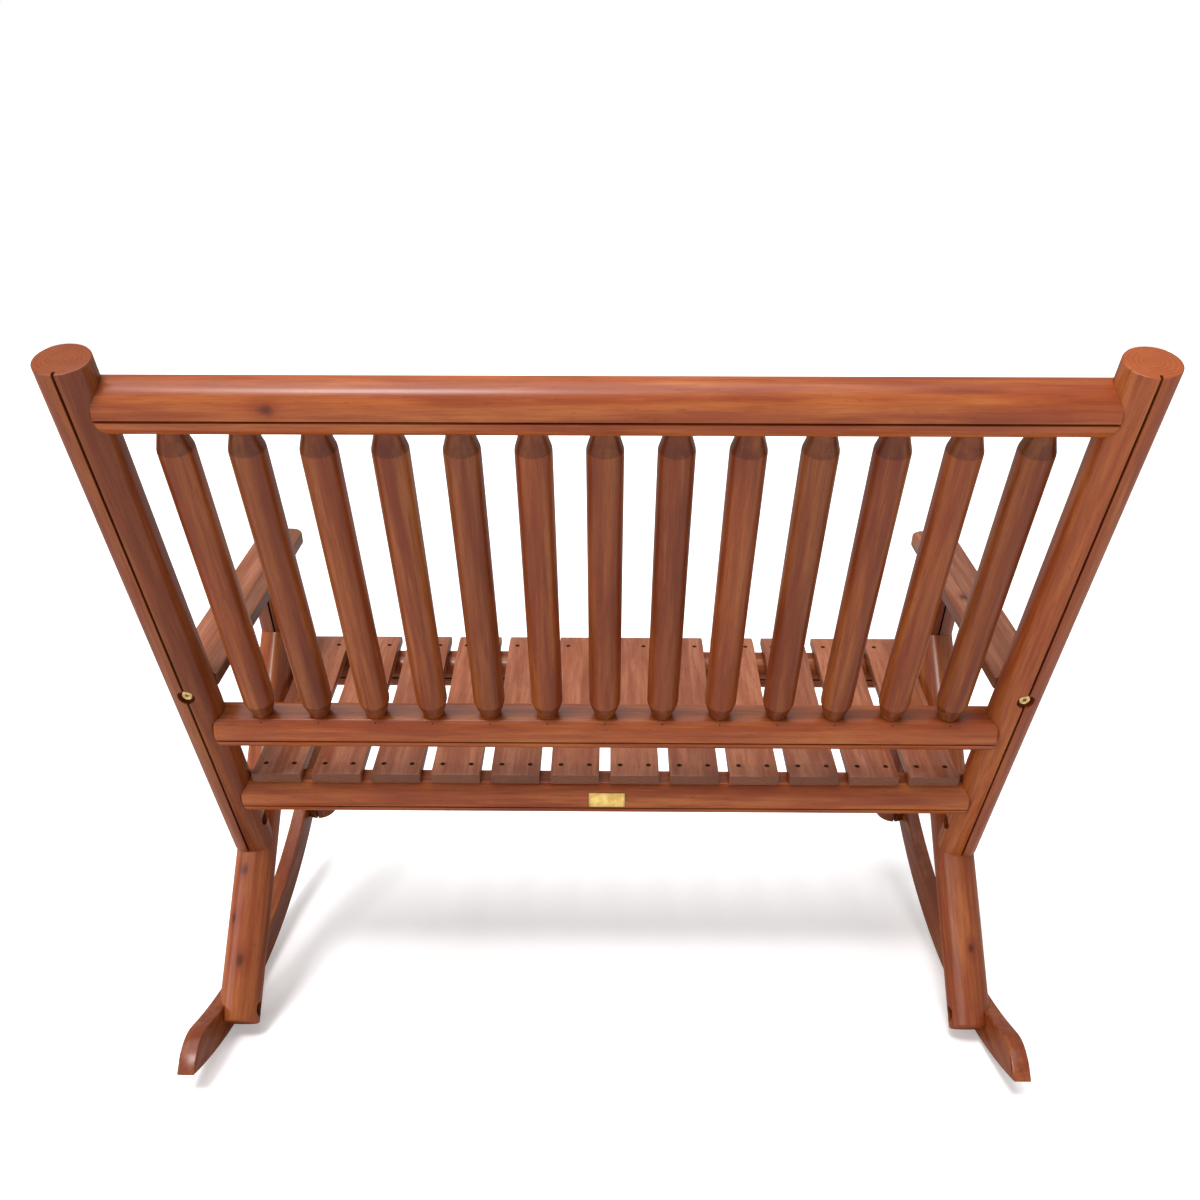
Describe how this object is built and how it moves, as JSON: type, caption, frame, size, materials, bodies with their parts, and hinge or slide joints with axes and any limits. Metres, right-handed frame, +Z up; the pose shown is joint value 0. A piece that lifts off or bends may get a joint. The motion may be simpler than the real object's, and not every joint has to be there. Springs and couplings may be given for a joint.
{
  "type": "rocking bench",
  "caption": "Wooden rocking bench of round logs: spindle back, slatted seat, flat armrests, slanted rear legs and curved board rockers.",
  "frame": {"origin": "middle of the footprint on the floor, under the middle of the bench's box", "axes": "+X along the bench to the sitter's left, +Y to the rear, +Z up; the bench stands in balance on its rockers"},
  "size_m": [1.2834, 0.9728, 1.0876],
  "materials": {
    "log_wood": "amber stained and varnished hardwood, satin",
    "board_wood": "pinkish brown stained and varnished hardwood, satin",
    "bolt_metal": "yellow zinc plated",
    "plate_brass": "satin brass, bare"
  },
  "bodies": {
    "root": {"back_post_left": "log_wood", "rear_leg_left": "log_wood", "front_leg_left": "log_wood", "rocker_left": "log_wood", "armrest_left": "board_wood", "arm_bolt_left": "bolt_metal", "post_leg_bolt_left": "bolt_metal", "leg_bolt_left": "bolt_metal", "rear_rocker_bolt_left": "bolt_metal", "front_rocker_bolt_left": "bolt_metal", "top_rail_bolt_left": "bolt_metal", "lower_back_rail_bolt_left": "bolt_metal", "rear_seat_rail_bolt_left": "bolt_metal", "front_seat_rail_bolt_left": "bolt_metal", "post_leg_nut_left": "bolt_metal", "back_post_right": "log_wood", "rear_leg_right": "log_wood", "front_leg_right": "log_wood", "rocker_right": "log_wood", "armrest_right": "board_wood", "arm_bolt_right": "bolt_metal", "post_leg_bolt_right": "bolt_metal", "leg_bolt_right": "bolt_metal", "rear_rocker_bolt_right": "bolt_metal", "front_rocker_bolt_right": "bolt_metal", "top_rail_bolt_right": "bolt_metal", "lower_back_rail_bolt_right": "bolt_metal", "rear_seat_rail_bolt_right": "bolt_metal", "front_seat_rail_bolt_right": "bolt_metal", "post_leg_nut_right": "bolt_metal", "top_rail": "log_wood", "lower_back_rail": "log_wood", "rear_seat_rail": "log_wood", "front_seat_rail": "log_wood", "spindle_01": "log_wood", "spindle_02": "log_wood", "spindle_03": "log_wood", "spindle_04": "log_wood", "spindle_05": "log_wood", "spindle_06": "log_wood", "spindle_07": "log_wood", "spindle_08": "log_wood", "spindle_09": "log_wood", "spindle_10": "log_wood", "spindle_11": "log_wood", "spindle_12": "log_wood", "spindle_13": "log_wood", "seat_slat_01": "board_wood", "seat_slat_02": "board_wood", "seat_slat_03": "board_wood", "seat_slat_04": "board_wood", "seat_slat_05": "board_wood", "seat_slat_06": "board_wood", "seat_slat_07": "board_wood", "seat_slat_08": "board_wood", "seat_slat_09": "board_wood", "seat_slat_10": "board_wood", "seat_slat_11": "board_wood", "seat_slat_12": "board_wood", "name_plate": "plate_brass"}
  },
  "joints": []
}
